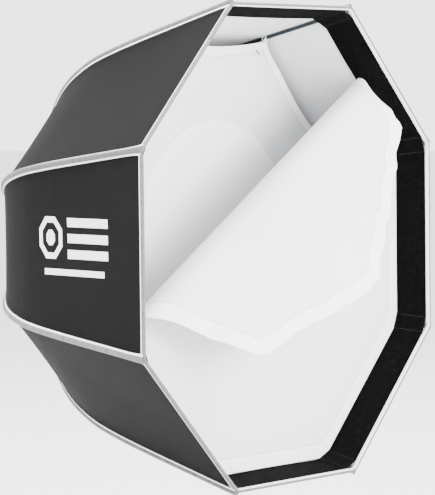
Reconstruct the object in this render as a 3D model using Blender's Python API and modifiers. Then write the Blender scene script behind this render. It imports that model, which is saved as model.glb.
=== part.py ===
"""Octagonal studio softbox, 60 cm across the flats, on a quick-release speed ring.

Row frame: metres, +Z up.  The box's axis is Y and its front faces -Y.  The origin is the centre of
the adapter's back seating face, which bears on the light head.  Eight curved steel ribs are hinged to
the speed ring and fold inwards together.  Each rib carries its own share of the fabric: a shallow V of
shell that meets its neighbours along the middle of each gore.  The front diffuser is half peeled.
"""
from math import cos, pi, radians, sin, tan

import bmesh
import bpy
from mathutils import Matrix, Vector

OBJECT_NAME = "octagonal_softbox"
GAP = 0.0003

# Overall form
RIB_COUNT = 8
STEP_ANGLE = 2 * pi / RIB_COUNT
HALF_ANGLE = STEP_ANGLE / 2
BOX_DEPTH = 0.400
FABRIC_THICKNESS = 0.0012

# A rib seam, from the front rim to the speed ring: (distance from the axis, distance behind the rim)
RIB_PROFILE = (
    (0.3250, 0.000),
    (0.3000, 0.090),
    (0.2810, 0.158),
    (0.2660, 0.208),
    (0.2530, 0.245),
    (0.2400, 0.272),
    (0.2260, 0.295),
    (0.2080, 0.317),
    (0.1800, 0.341),
    (0.1450, 0.360),
    (0.1068, 0.3735),
)
PROFILE_STEPS = 2

# Ribs
ROD_RADIUS = 0.0020
ROD_INSET = 0.0052
ROD_TIP_DEPTH = 0.0085
PIVOT_RADIUS = 0.085
PIVOT_Y = -0.0255
PIN_RADIUS = 0.0015
PIN_LENGTH = 0.020
KNUCKLE_WIDTH = 0.010
KNUCKLE_HEIGHT = 0.010
KNUCKLE_BACK = 0.006
KNUCKLE_FRONT = 0.016
SOCKET_DEPTH = 0.008
POCKET_RADIUS = 0.0032
POCKET_DEPTHS = (0.004, 0.030)

# Hook-and-loop lip band inside the rim
BAND_DEPTHS = (0.005, 0.045)
BAND_THICKNESS = 0.0008
BAND_CORNER = 0.019

# Adapter and speed ring
ADAPTER_BORE = 0.050
ADAPTER_RADIUS = 0.075
FLANGE_THICKNESS = 0.008
SPIGOT_RADIUS = 0.058
SPIGOT_FRONT = -0.0345
COLLAR_RADIUS = 0.056
COLLAR_BACK = 0.010
LUG_RADIUS = 0.062
LUG_COUNT = 3
LUG_WIDTH = 0.026
LUG_THICKNESS = 0.004
RETAINER_RADIUS = 0.066
RETAINER_THICKNESS = 0.003
HUB_RADII = (0.0585, 0.096)
HUB_BACK = -0.0085
HUB_FRONT = -0.0340
SLOT_WIDTH = 0.011
SLOT_INNER = 0.0762
SLOT_BACK = -0.0165
COVER_RADII = (0.0675, 0.0750)
COVER_THICKNESS = 0.0015

# Lock knob, under the speed ring
KNOB_Y = -0.0170
KNOB_RADIUS = 0.0080
KNOB_SPAN = (0.1000, 0.1140)
KNOB_LOBES = 8
LOCK_SCREW_RADIUS = 0.0025
LOCK_SCREW_START = 0.0588

# Inner baffle, with its second round layer
BAFFLE_DEPTH = 0.127
BAFFLE_RADIUS = 0.279
PATCH_RADIUS = 0.158
CLOTH_THICKNESS = 0.0010

# Front diffuser: a sheet whose upper left part is peeled off and rolled over a slanting fold
DIFFUSER_DEPTH = 0.043
DIFFUSER_APOTHEM = 0.2850
DIFFUSER_CORNER = 0.3015
FOLD_SLOPE = radians(31.4)
FOLD_OFFSET = 0.0631
ROLL_RADIUS = 0.022
ROLL_TURN = radians(161)
ROLL_STEPS = 7
FLAP_HINGE = (0.0924, -0.3733)
PANEL_CLEARANCE = 0.0010

MATERIALS = {
    "shell_fabric": ((0.030, 0.030, 0.032), 0.75, 0.0),
    "loop_band": ((0.012, 0.012, 0.012), 0.95, 0.0),
    "baffle_cloth": ((0.86, 0.87, 0.88), 0.85, 0.0),
    "diffuser_cloth": ((0.90, 0.90, 0.91), 0.85, 0.0),
    "rod_steel": ((0.35, 0.35, 0.36), 0.35, 1.0),
    "pin_steel": ((0.62, 0.62, 0.63), 0.30, 1.0),
    "knuckle_metal": ((0.10, 0.10, 0.10), 0.45, 0.6),
    "tip_leather": ((0.020, 0.020, 0.020), 0.70, 0.0),
    "hub_metal": ((0.045, 0.045, 0.048), 0.45, 0.7),
    "adapter_metal": ((0.70, 0.70, 0.72), 0.32, 1.0),
    "knob_plastic": ((0.015, 0.015, 0.015), 0.50, 0.0),
}


# ---------------------------------------------------------------- scene helpers

def clear_scene():
    for item in list(bpy.data.objects):
        bpy.data.objects.remove(item, do_unlink=True)


def new_collection(name):
    collection = bpy.data.collections.new(name)
    bpy.context.scene.collection.children.link(collection)
    return collection


def make_material(slot):
    colour, roughness, metallic = MATERIALS[slot]
    material = bpy.data.materials.new(slot)
    material.use_nodes = True
    shader = material.node_tree.nodes["Principled BSDF"]
    shader.inputs["Base Color"].default_value = (*colour, 1.0)
    shader.inputs["Roughness"].default_value = roughness
    shader.inputs["Metallic"].default_value = metallic
    material.diffuse_color = (*colour, 1.0)
    return material


def material_of(slot):
    return bpy.data.materials.get(slot) or make_material(slot)


def add_object(name, data, slot, parent=None, matrix=None):
    """A part in the object's collection, placed by matrix in its parent's frame."""
    item = bpy.data.objects.new(name, data)
    PARTS.objects.link(item)
    if not data.materials:
        data.materials.append(material_of(slot))
    item.parent = parent
    if matrix is not None:
        item.matrix_local = matrix
    return item


def add_cutter(name, data, matrix=None):
    item = bpy.data.objects.new(name, data)
    CUTTERS.objects.link(item)
    if matrix is not None:
        item.matrix_world = matrix
    item.hide_render = True
    item.display_type = "WIRE"
    return item


def add_empty(name, matrix):
    item = bpy.data.objects.new(name, None)
    PARTS.objects.link(item)
    item.empty_display_size = 0.02
    item.matrix_world = matrix
    return item


def mesh_from(name, bm):
    bmesh.ops.recalc_face_normals(bm, faces=bm.faces[:])
    mesh = bpy.data.meshes.new(name)
    bm.to_mesh(mesh)
    bm.free()
    return mesh


def add_boolean(item, cutter, operation="DIFFERENCE"):
    cut = item.modifiers.new(cutter.name, "BOOLEAN")
    cut.operation = operation
    cut.solver = "EXACT"
    cut.object = cutter
    return cut


def applied_mesh(item, name):
    """The item's evaluated mesh.  The item itself is removed."""
    bpy.context.view_layer.update()
    evaluated = item.evaluated_get(bpy.context.evaluated_depsgraph_get())
    mesh = bpy.data.meshes.new_from_object(evaluated)
    mesh.name = name
    bpy.data.objects.remove(item, do_unlink=True)
    return mesh


def smooth(mesh, angle=radians(35)):
    mesh.shade_smooth()
    mesh.set_sharp_from_angle(angle=angle)


def turned(name, outline, slot, parent=None, matrix=None, steps=48, ring=True):
    """A part turned about its local Z from an outline of (radius, height) points."""
    mesh = bpy.data.meshes.new(name)
    points = [(radius, 0.0, height) for radius, height in outline]
    edges = [(i, i + 1) for i in range(len(points) - 1)]
    if ring:
        edges.append((len(points) - 1, 0))
    mesh.from_pydata(points, edges, [])
    item = add_object(name, mesh, slot, parent, matrix)
    screw = item.modifiers.new("turn", "SCREW")
    screw.angle = 2 * pi
    screw.steps = steps
    screw.render_steps = steps
    screw.axis = "Z"
    screw.use_merge_vertices = True
    screw.merge_threshold = 0.00001
    screw.use_smooth_shade = False
    return item


# ---------------------------------------------------------------- geometry of the box

def row_y(depth):
    """Height along the axis of a point that lies depth behind the front rim."""
    return depth - BOX_DEPTH


def smooth_profile():
    """The rib seam as (radius, y) points on a Catmull-Rom curve through RIB_PROFILE."""
    knots = [Vector((radius, row_y(depth))) for radius, depth in RIB_PROFILE]
    ends = [2 * knots[0] - knots[1], *knots, 2 * knots[-1] - knots[-2]]
    points = []
    for i in range(len(knots) - 1):
        a, b, c, d = ends[i:i + 4]
        for step in range(PROFILE_STEPS):
            t = step / PROFILE_STEPS
            points.append(0.5 * (2 * b + (c - a) * t + (2 * a - 5 * b + 4 * c - d) * t**2
                                 + (3 * b - a - 3 * c + d) * t**3))
    points.append(knots[-1])
    return points


def inset(points, distance):
    """The same curve moved inside the box by distance, square to itself."""
    moved = []
    for i, point in enumerate(points):
        before = points[max(i - 1, 0)]
        after = points[min(i + 1, len(points) - 1)]
        along = (after - before).normalized()
        moved.append(point + distance * Vector((-along.y, along.x)))
    return moved


def profile_at(depth):
    """Radius of the rib seam at a depth behind the rim."""
    for (r0, d0), (r1, d1) in zip(RIB_PROFILE, RIB_PROFILE[1:]):
        if d0 <= depth <= d1:
            return r0 + (r1 - r0) * (depth - d0) / (d1 - d0)
    raise ValueError("depth is outside the box")


def rib_angle(number):
    """Angle of a rib from +X towards +Z."""
    return HALF_ANGLE + (number - 1) * STEP_ANGLE


def rib_matrix(number):
    """Frame on a rib's pivot: X away from the axis, Y along the box's axis, Z along the hinge pin."""
    turn = Matrix.Rotation(-rib_angle(number), 4, "Y")
    return turn @ Matrix.Translation((PIVOT_RADIUS, PIVOT_Y, 0.0))


def rib_local(radius, y, sideways=0.0):
    return Vector((radius - PIVOT_RADIUS, y - PIVOT_Y, sideways))


def rod_direction():
    """Unit vector, in the rib's X-Y plane, from the pivot to where the rod leaves the speed ring."""
    end = inset(smooth_profile(), ROD_INSET)[-1]
    return rib_local(end.x, end.y).normalized()


def frame_along(origin, direction):
    """Matrix that puts local Z along a direction in the rib's X-Y plane, keeping Y square to it."""
    z_axis = direction.normalized()
    y_axis = Vector((0.0, 0.0, 1.0))
    x_axis = y_axis.cross(z_axis)
    matrix = Matrix((x_axis, y_axis, z_axis)).transposed().to_4x4()
    matrix.translation = origin
    return matrix


def gore_point(radius, y, side):
    """Point of a gore's middle line beside a rib; side is -1 or 1."""
    apothem = radius * cos(HALF_ANGLE)
    sideways = apothem * sin(HALF_ANGLE) - GAP
    return rib_local(apothem * cos(HALF_ANGLE), y, side * sideways)


# ---------------------------------------------------------------- rib parts

def shell_mesh():
    """One rib's share of the shell: an open V-shaped strip, to be thickened inwards."""
    bm = bmesh.new()
    rows = []
    for point in smooth_profile():
        places = (gore_point(point.x, point.y, -1), rib_local(point.x, point.y),
                  gore_point(point.x, point.y, 1))
        rows.append([bm.verts.new(place) for place in places])
    for low, high in zip(rows, rows[1:]):
        for i in range(2):
            bm.faces.new((low[i], high[i], high[i + 1], low[i + 1]))
    mesh = bpy.data.meshes.new("shell_strip")
    bm.to_mesh(mesh)
    bm.free()
    return mesh


def band_mesh():
    """One rib's share of the lip band, which cuts across the corner in front of the rod's tip."""
    bm = bmesh.new()
    rows = []
    lift = FABRIC_THICKNESS + GAP
    for depth in BAND_DEPTHS:
        radius = profile_at(depth) - lift / cos(HALF_ANGLE)
        y = row_y(depth)
        row = []
        for side in (-1, 1):
            near = Vector((radius - BAND_CORNER * sin(HALF_ANGLE), side * BAND_CORNER * cos(HALF_ANGLE)))
            corner = rib_local(near.x, y, near.y)
            row.append((gore_point(radius, y, side), corner))
        places = (row[0][0], row[0][1], row[1][1], row[1][0])
        rows.append([bm.verts.new(place) for place in places])
    for i in range(3):
        bm.faces.new((rows[0][i], rows[1][i], rows[1][i + 1], rows[0][i + 1]))
    mesh = bpy.data.meshes.new("band_strip")
    bm.to_mesh(mesh)
    bm.free()
    return mesh


def thicken(item, thickness):
    solidify = item.modifiers.new("thickness", "SOLIDIFY")
    solidify.thickness = thickness
    solidify.offset = -1.0
    solidify.use_even_offset = True
    return solidify


def rod_points():
    """Centre line of a rod in the rib's frame, from its socket to its tip."""
    direction = rod_direction()
    centre = inset(smooth_profile(), ROD_INSET)
    route = [direction * (KNUCKLE_FRONT - SOCKET_DEPTH + GAP), direction * KNUCKLE_FRONT]
    for point in reversed(centre):
        if point.y > row_y(ROD_TIP_DEPTH) + ROD_INSET:
            route.append(rib_local(point.x, point.y))
    radius = profile_at(ROD_TIP_DEPTH) - ROD_INSET
    route.append(rib_local(radius, row_y(ROD_TIP_DEPTH)))
    return route


def rod_curve():
    curve = bpy.data.curves.new("rod", "CURVE")
    curve.dimensions = "3D"
    curve.bevel_depth = ROD_RADIUS
    curve.bevel_resolution = 2
    curve.use_fill_caps = True
    route = rod_points()
    spline = curve.splines.new("POLY")
    spline.points.add(len(route) - 1)
    for point, place in zip(spline.points, route):
        point.co = (*place, 1.0)
    return curve


def knuckle_mesh():
    """Block on the hinge pin that holds a rod's end, with a pin hole and a rod socket."""
    length = KNUCKLE_BACK + KNUCKLE_FRONT
    bm = bmesh.new()
    bmesh.ops.create_cube(bm, size=1.0)
    bmesh.ops.scale(bm, verts=bm.verts[:], vec=(KNUCKLE_HEIGHT, KNUCKLE_WIDTH, length))
    bmesh.ops.translate(bm, verts=bm.verts[:], vec=(0.0, 0.0, length / 2 - KNUCKLE_BACK))
    bmesh.ops.bevel(bm, geom=bm.edges[:], offset=0.0012, segments=2, affect="EDGES")
    block = bpy.data.objects.new("knuckle_block", mesh_from("knuckle_block", bm))
    PARTS.objects.link(block)
    matrix = frame_along(Vector(), rod_direction())
    block.matrix_world = matrix

    bore = cylinder_mesh("pin_bore", PIN_RADIUS + GAP, 2 * KNUCKLE_WIDTH, 16)
    add_boolean(block, add_cutter("knuckle_pin_hole", bore))
    socket = cylinder_mesh("socket_bore", ROD_RADIUS + GAP, 2 * SOCKET_DEPTH, 12)
    place = matrix @ Matrix.Translation((0.0, 0.0, KNUCKLE_FRONT))
    add_boolean(block, add_cutter("knuckle_rod_socket", socket, place))
    mesh = applied_mesh(block, "knuckle")
    mesh.transform(matrix)
    smooth(mesh)
    return mesh


def cylinder_mesh(name, radius, length, segments):
    bm = bmesh.new()
    bmesh.ops.create_cone(bm, cap_ends=True, segments=segments, radius1=radius, radius2=radius,
                          depth=length)
    return mesh_from(name, bm)


def pocket_outline():
    """A cup, open at its top, in which the rod's tip sits."""
    length = POCKET_DEPTHS[1] - POCKET_DEPTHS[0]
    floor = ROD_TIP_DEPTH - POCKET_DEPTHS[0] - GAP
    bore = ROD_RADIUS + GAP
    return ((0.0, floor), (bore, floor), (bore, length), (POCKET_RADIUS, length),
            (POCKET_RADIUS, 0.0005), (POCKET_RADIUS - 0.0005, 0.0), (0.0, 0.0))


def build_rib(number, shared):
    empty = add_empty(f"rib_{number}_pivot", rib_matrix(number))
    shell = add_object(f"shell_gore_{number}", shared["shell"], "shell_fabric", empty)
    thicken(shell, FABRIC_THICKNESS)
    band = add_object(f"lip_band_{number}", shared["band"], "loop_band", empty)
    thicken(band, BAND_THICKNESS)
    add_object(f"rod_{number}", shared["rod"], "rod_steel", empty)
    add_object(f"knuckle_{number}", shared["knuckle"], "knuckle_metal", empty)

    route = rod_points()
    along = route[-2] - route[-1]
    tip = route[-1] - along.normalized() * (ROD_TIP_DEPTH - POCKET_DEPTHS[0])
    turned(f"tip_pocket_{number}", pocket_outline(), "tip_leather", empty,
           frame_along(tip, along), steps=12, ring=False)


# ---------------------------------------------------------------- speed ring and adapter

def axis_matrix(y=0.0):
    """Local Z along the box's axis, towards the front."""
    return Matrix.Translation((0.0, y, 0.0)) @ Matrix.Rotation(pi / 2, 4, "X")


def ring_outline(inner, outer, back, front, chamfer=0.0006):
    """A chamfered ring between two row Y heights, for an axis that points to the front."""
    low, high = -back, -front
    return ((outer - chamfer, high), (outer, high - chamfer), (outer, low + chamfer),
            (outer - chamfer, low), (inner, low), (inner, high))


def radial_matrix(angle, radius, y):
    """Local X away from the box's axis, local Z along the tangent."""
    return Matrix.Rotation(-angle, 4, "Y") @ Matrix.Translation((radius, y, 0.0))


def joined_copies(name, source, matrices):
    bm = bmesh.new()
    for matrix in matrices:
        piece = source.copy()
        piece.transform(matrix)
        bm.from_mesh(piece)
        bpy.data.meshes.remove(piece)
    return mesh_from(name, bm)


def box_mesh(name, size):
    bm = bmesh.new()
    bmesh.ops.create_cube(bm, size=1.0)
    bmesh.ops.scale(bm, verts=bm.verts[:], vec=size)
    return mesh_from(name, bm)


def build_adapter():
    """The root: a flanged ring whose spigot carries the speed ring and whose lugs fit the light."""
    front = -SPIGOT_FRONT
    outline = (
        (COLLAR_RADIUS, -COLLAR_BACK),
        (ADAPTER_BORE, -COLLAR_BACK),
        (ADAPTER_BORE, front),
        (SPIGOT_RADIUS, front),
        (SPIGOT_RADIUS, FLANGE_THICKNESS),
        (ADAPTER_RADIUS, FLANGE_THICKNESS),
        (ADAPTER_RADIUS, 0.0),
        (COLLAR_RADIUS, 0.0),
    )
    ring = turned("adapter_ring", outline, "adapter_metal", None, axis_matrix())
    depth = LUG_RADIUS - COLLAR_RADIUS + 0.002
    lug = box_mesh("lug", (depth, LUG_THICKNESS, LUG_WIDTH))
    places = []
    for i in range(LUG_COUNT):
        angle = pi / 2 + i * 2 * pi / LUG_COUNT
        places.append(radial_matrix(angle, LUG_RADIUS - depth / 2, COLLAR_BACK - LUG_THICKNESS / 2 - 0.001))
    lugs = add_cutter("bayonet_lugs", joined_copies("bayonet_lugs", lug, places))
    add_boolean(ring, lugs, "UNION")

    back = SPIGOT_FRONT - GAP
    turned("retainer_ring", ring_outline(ADAPTER_BORE, RETAINER_RADIUS, back, back - RETAINER_THICKNESS),
           "pin_steel", None, axis_matrix())


def build_hub():
    hub = turned("speed_ring", ring_outline(*HUB_RADII, HUB_BACK, HUB_FRONT, 0.001), "hub_metal",
                 None, axis_matrix())
    angles = [rib_angle(number) for number in range(1, RIB_COUNT + 1)]

    slot_length = HUB_RADII[1] - SLOT_INNER + 0.01
    slot_depth = SLOT_BACK - HUB_FRONT + 0.01
    slot = box_mesh("slot", (slot_length, slot_depth, SLOT_WIDTH))
    middle = SLOT_INNER + slot_length / 2
    places = [radial_matrix(angle, middle, SLOT_BACK - slot_depth / 2) for angle in angles]
    add_boolean(hub, add_cutter("rib_slots", joined_copies("rib_slots", slot, places)))

    bore = cylinder_mesh("hinge_bore", PIN_RADIUS + GAP, PIN_LENGTH + 2 * GAP, 12)
    places = [radial_matrix(angle, PIVOT_RADIUS, PIVOT_Y) for angle in angles]
    add_boolean(hub, add_cutter("hinge_bores", joined_copies("hinge_bores", bore, places)))

    hole = cylinder_mesh("lock_hole", LOCK_SCREW_RADIUS + GAP, 0.08, 16)
    place = Matrix.Translation((0.0, KNOB_Y, -HUB_RADII[1] + 0.01))
    add_boolean(hub, add_cutter("lock_screw_hole", hole, place))

    pin = cylinder_mesh("hinge_pin", PIN_RADIUS, PIN_LENGTH, 12)
    for number, angle in enumerate(angles, start=1):
        add_object(f"hinge_pin_{number}", pin, "pin_steel", None,
                   radial_matrix(angle, PIVOT_RADIUS, PIVOT_Y))

    back = HUB_FRONT - GAP
    turned("cover_ring", ring_outline(*COVER_RADII, back, back - COVER_THICKNESS, 0.0004),
           "knob_plastic", None, axis_matrix())


def build_lock():
    """Screw and lobed knob that clamp the speed ring on the adapter's spigot."""
    down = Matrix.Translation((0.0, KNOB_Y, 0.0)) @ Matrix.Rotation(pi, 4, "X")
    start, end = KNOB_SPAN
    shaft_end = start - GAP
    screw = cylinder_mesh("lock_screw", LOCK_SCREW_RADIUS, shaft_end - LOCK_SCREW_START, 16)
    smooth(screw)
    middle = (shaft_end + LOCK_SCREW_START) / 2
    add_object("lock_screw", screw, "pin_steel", None, down @ Matrix.Translation((0, 0, middle)))

    bm = bmesh.new()
    bmesh.ops.create_cone(bm, cap_ends=True, segments=4 * KNOB_LOBES, radius1=KNOB_RADIUS,
                          radius2=KNOB_RADIUS, depth=end - start)
    for vert in bm.verts:
        angle = Vector((vert.co.x, vert.co.y)).angle_signed(Vector((1.0, 0.0)))
        share = 0.94 + 0.06 * cos(KNOB_LOBES * angle)
        vert.co.x *= share
        vert.co.y *= share
    rims = [edge for edge in bm.edges if abs(edge.verts[0].co.z - edge.verts[1].co.z) < 1e-6]
    bmesh.ops.bevel(bm, geom=rims, offset=0.0009, segments=2, affect="EDGES")
    knob = mesh_from("lock_knob", bm)
    smooth(knob)
    add_object("lock_knob", knob, "knob_plastic", None,
               down @ Matrix.Translation((0, 0, (start + end) / 2)))


# ---------------------------------------------------------------- cloth panels

def panel_matrix(depth):
    """Frame of a flat panel across the box: local X to +X, local Y to +Z, local Z to the front."""
    return Matrix.Translation((0.0, row_y(depth), 0.0)) @ Matrix.Rotation(pi / 2, 4, "X")


def slab(name, bm, slot, parent=None, matrix=None):
    """A flat outline of one face as a panel of CLOTH_THICKNESS, centred on the outline's plane."""
    mesh = mesh_from(name, bm)
    item = add_object(name, mesh, slot, parent, matrix)
    solidify = thicken(item, CLOTH_THICKNESS)
    solidify.offset = 0.0
    return item


def flat_ring(segments, radius):
    bm = bmesh.new()
    bmesh.ops.create_circle(bm, cap_ends=True, segments=segments, radius=radius)
    return bm


def build_baffle():
    bm = flat_ring(RIB_COUNT, BAFFLE_RADIUS)
    bmesh.ops.rotate(bm, verts=bm.verts[:], matrix=Matrix.Rotation(HALF_ANGLE, 3, "Z"))
    slab("inner_baffle", bm, "baffle_cloth", None, panel_matrix(BAFFLE_DEPTH))
    patch_depth = BAFFLE_DEPTH - CLOTH_THICKNESS - GAP
    slab("baffle_patch", flat_ring(48, PATCH_RADIUS), "baffle_cloth", None, panel_matrix(patch_depth))


def cut_outline(bm, point, normal):
    """Keeps the side of a flat outline that lies behind a line."""
    bmesh.ops.bisect_plane(bm, geom=bm.verts[:] + bm.edges[:] + bm.faces[:], dist=1e-7,
                           plane_co=point, plane_no=normal, clear_outer=True)


def diffuser_outline():
    """Octagon whose corners are trimmed to clear the rods."""
    bm = flat_ring(RIB_COUNT, DIFFUSER_APOTHEM / cos(HALF_ANGLE))
    bmesh.ops.rotate(bm, verts=bm.verts[:], matrix=Matrix.Rotation(HALF_ANGLE, 3, "Z"))
    for number in range(1, RIB_COUNT + 1):
        outward = Vector((cos(rib_angle(number)), sin(rib_angle(number)), 0.0))
        cut_outline(bm, outward * DIFFUSER_CORNER, outward)
    return bm


def rolled(beyond):
    """Where cloth that reaches beyond the fold line goes: (offset across the fold, height to the front)."""
    turn = min(beyond / ROLL_RADIUS, ROLL_TURN)
    rest = beyond - turn * ROLL_RADIUS
    across = ROLL_RADIUS * sin(turn) + rest * cos(turn)
    height = ROLL_RADIUS * (1 - cos(turn)) + rest * sin(turn)
    return FOLD_OFFSET + across, height


def build_diffuser():
    """The half still held by the lip band, and the peeled half that rolls over in front of it."""
    upward = Vector((-sin(FOLD_SLOPE), cos(FOLD_SLOPE), 0.0))
    place = panel_matrix(DIFFUSER_DEPTH)

    held = diffuser_outline()
    cut_outline(held, upward * (FOLD_OFFSET - PANEL_CLEARANCE), upward)
    slab("diffuser_panel", held, "diffuser_cloth", None, place)

    peeled = diffuser_outline()
    cut_outline(peeled, upward * (FOLD_OFFSET + PANEL_CLEARANCE), -upward)
    for step in range(1, ROLL_STEPS + 1):
        beyond = step * ROLL_TURN * ROLL_RADIUS / ROLL_STEPS
        bmesh.ops.bisect_plane(peeled, geom=peeled.verts[:] + peeled.edges[:] + peeled.faces[:],
                               dist=1e-7, plane_co=upward * (FOLD_OFFSET + beyond), plane_no=upward)
    for vert in peeled.verts:
        reach = vert.co.dot(upward)
        across, height = rolled(reach - FOLD_OFFSET)
        vert.co += upward * (across - reach) + Vector((0.0, 0.0, height))
    offset, y = FLAP_HINGE
    axis = place @ (upward * offset)
    hinge = add_empty("flap_hinge", Matrix.Translation((axis.x, y, axis.z)))
    slab("diffuser_flap", peeled, "diffuser_cloth", hinge, hinge.matrix_world.inverted() @ place)


def main():
    shared = {
        "shell": shell_mesh(),
        "band": band_mesh(),
        "rod": rod_curve(),
        "knuckle": knuckle_mesh(),
    }
    for number in range(1, RIB_COUNT + 1):
        build_rib(number, shared)
    build_adapter()
    build_hub()
    build_lock()
    build_baffle()
    build_diffuser()


clear_scene()
PARTS = new_collection(OBJECT_NAME)
CUTTERS = new_collection("cutters")
main()
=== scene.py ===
"""Looks of the octagonal softbox: sewn shell, bindings, lip band, baffle, diffuser, camera and light."""
from math import ceil, cos, pi, radians, sin, sqrt, tan

import bmesh
import bpy
import numpy as np
from mathutils import Matrix, Vector


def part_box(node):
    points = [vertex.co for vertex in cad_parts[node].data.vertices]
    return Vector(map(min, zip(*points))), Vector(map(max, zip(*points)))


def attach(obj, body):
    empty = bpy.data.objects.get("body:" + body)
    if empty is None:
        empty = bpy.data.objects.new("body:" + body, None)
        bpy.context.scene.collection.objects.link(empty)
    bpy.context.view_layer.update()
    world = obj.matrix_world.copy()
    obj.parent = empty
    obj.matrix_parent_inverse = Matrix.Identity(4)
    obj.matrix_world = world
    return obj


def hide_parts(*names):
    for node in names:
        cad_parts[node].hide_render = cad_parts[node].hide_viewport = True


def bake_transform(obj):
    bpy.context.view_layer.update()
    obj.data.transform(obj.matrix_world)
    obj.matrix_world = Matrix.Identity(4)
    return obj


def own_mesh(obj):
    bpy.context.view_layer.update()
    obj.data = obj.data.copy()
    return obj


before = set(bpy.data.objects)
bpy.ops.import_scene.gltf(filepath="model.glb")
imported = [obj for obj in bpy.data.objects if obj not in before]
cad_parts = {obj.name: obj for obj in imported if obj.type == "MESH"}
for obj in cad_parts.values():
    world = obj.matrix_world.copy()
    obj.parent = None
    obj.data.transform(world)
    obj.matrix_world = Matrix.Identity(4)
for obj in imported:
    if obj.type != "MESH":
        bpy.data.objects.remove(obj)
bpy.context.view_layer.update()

# ---- driving dimensions, in metres
RIB_COUNT = 8
STEP = 2 * pi / RIB_COUNT
HALF = STEP / 2
RIM_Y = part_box("shell_gore_1")[0][1]

# A rib seam, from the front rim to the speed ring: (distance from the axis, distance behind the rim)
RIB_PROFILE = (
    (0.3250, 0.000),
    (0.3000, 0.090),
    (0.2810, 0.158),
    (0.2660, 0.208),
    (0.2530, 0.245),
    (0.2400, 0.272),
    (0.2260, 0.295),
    (0.2080, 0.317),
    (0.1800, 0.341),
    (0.1450, 0.360),
    (0.1068, 0.3735),
)
PROFILE_STEPS = 6
GORE_COLUMNS = 14
# How far a gore's middle line is drawn in, and the depth over which it is
GORE_BOW = 0.0035
BOW_DEPTH = 0.36
SHELL_THICKNESS = 0.0009
# Depths where the shell's lengths end
SHELL_CUTS = (0.040, 0.085, 0.130, 0.172, 0.212, 0.245, 0.275, 0.303, 0.325, 0.343, 0.357)
# Share of the width added to what a folded gore needs, and the largest share that is kept
GATHER_SPARE = 0.014
GATHER_MOST = 0.99
# The ribs' hinges, and how far they fold
PIVOT_RADIUS = 0.085
PIVOT_Y = -0.0255
FOLD_ANGLE = radians(30)
# How deep the shell's faces tuck in under the next length, and how far its front edge turns over
TUCK = 0.0003
TURN_OVER = 0.00003
# The mark is on the panel between ribs 4 and 5: (rib, whether it is on the far side of that rib)
PRINTED_HALVES = ((4, True), (5, False))

BAND_START = 0.0035
BAND_END = 0.0450
BAND_LIFT = 0.0013
BAND_THICKNESS = 0.0010
# How far from a rib the band leaves the shell to cut the corner, and how far the cut bows outwards
BAND_CORNER = 0.019
BAND_BOW = 0.0010
BAND_WAVE = 0.0004

BAFFLE_RADIUS = 0.2800
BAFFLE_SCALLOP = 0.0075
BAFFLE_WEDGES = 32
BAFFLE_COLUMNS = 6
BAFFLE_HEM = 0.014
BAFFLE_STITCHES = 0.0125
HEM_THICKNESS = 0.0008
PATCH_STEP = 0.0011
# Size of the baffle's elastic loops, and where their bar tacks sit
LOOP_RADIUS = 0.0029
LOOP_HALF_WIDTH = 0.0035
LOOP_HALF_THICKNESS = 0.00035
TACK_ASIDE = 0.011
TACK_HALF_LENGTH = 0.0045
PATCH_RADIUS = (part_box("baffle_patch")[1][0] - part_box("baffle_patch")[0][0]) / 2
BAFFLE_Y = (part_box("inner_baffle")[0][1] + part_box("inner_baffle")[1][1]) / 2

DIFFUSER_Y = (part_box("diffuser_panel")[0][1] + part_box("diffuser_panel")[1][1]) / 2
DIFFUSER_APOTHEM = 0.2845
DIFFUSER_CORNER = 0.3030
DIFFUSER_HEM = 0.019
CLOTH = 0.0006
# The fold line: its slope, and its distance from the axis
FOLD_SLOPE = radians(31.4)
FOLD_EDGE = 0.0741
# The roll along the fold: share of its radius that lies before the line, radius, turn, and how it narrows
ROLL_SHARE = 0.498
ROLL_RADIUS = 0.022
ROLL_TURN = radians(161)
ROLL_FADE = 0.045
ROLL_ENDS = (0.60, 0.42)
# Where the loose flap stands further out, and where its edge sags: (distance along the fold, width, amount)
FLAP_SWELLS = ((0.262, 0.090, 0.011), (0.140, 0.050, 0.004), (-0.185, 0.030, 0.009), (-0.060, 0.045, -0.004))
FLAP_SAGS = ((0.262, 0.090, 0.013), (-0.085, 0.040, 0.006), (-0.232, 0.030, -0.004), (-0.287, 0.018, 0.008))
HEM_RIPPLE = 0.0018
HELD_SAG = 0.0025

CENTRE = Vector((0.0, -0.30, 0.0))
AZIMUTH = radians(-51.99)
ELEVATION = radians(2.65)
CAMERA_ROLL = radians(-0.60)
CAMERA_DISTANCE = 3.633
CAMERA_AIM = (-0.0192, -0.0064)
LENS = 206.3
SENSOR_WIDTH = 36.0

FLOOR_HEIGHT = -0.42
FLOOR_SIZE = 30.0
FLOOR_TONE = 0.70
SKY_STRENGTH = 3.4
# Soft square lights: (name, azimuth, elevation, distance, size, power)
LIGHTS = (("key", -105, 66, 2.6, 1.4, 290), ("fill", 5, 14, 3.2, 2.0, 260), ("back", 120, 40, 3.0, 1.6, 60))

# Distances between threads, and between stitches
SHELL_THREAD = 0.0007
WHITE_THREAD = 0.0006
TAPE_THREAD = 0.0011
LOOP_STITCH = 0.0030
TAPE_STITCH = 0.0032
WHITE_STITCH = 0.0034
EVEN_GRAIN = (1.0, 1.0, 1.0)
COLD_WHITE = (0.98, 1.0, 1.012)
DIFFUSER_WHITE = (0.995, 0.997, 1.01)

# The printed mark, from its place on the panel: the octagon's middle and its half widths, then the bars
MARK_UP = -0.002
MARK_BACK = 0.148
MARK_OCTAGON = (0.052, 0.013)
MARK_RING = (0.0185, 0.0260)
MARK_CORE = 0.0095
MARK_BARS = (-0.074, 0.014, 0.0055)
MARK_BAR_HEIGHTS = (0.0325, 0.0130, -0.0065)
MARK_LINE = (-0.066, 0.066, -0.0290, 0.0038)


# ---- node helpers

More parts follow.
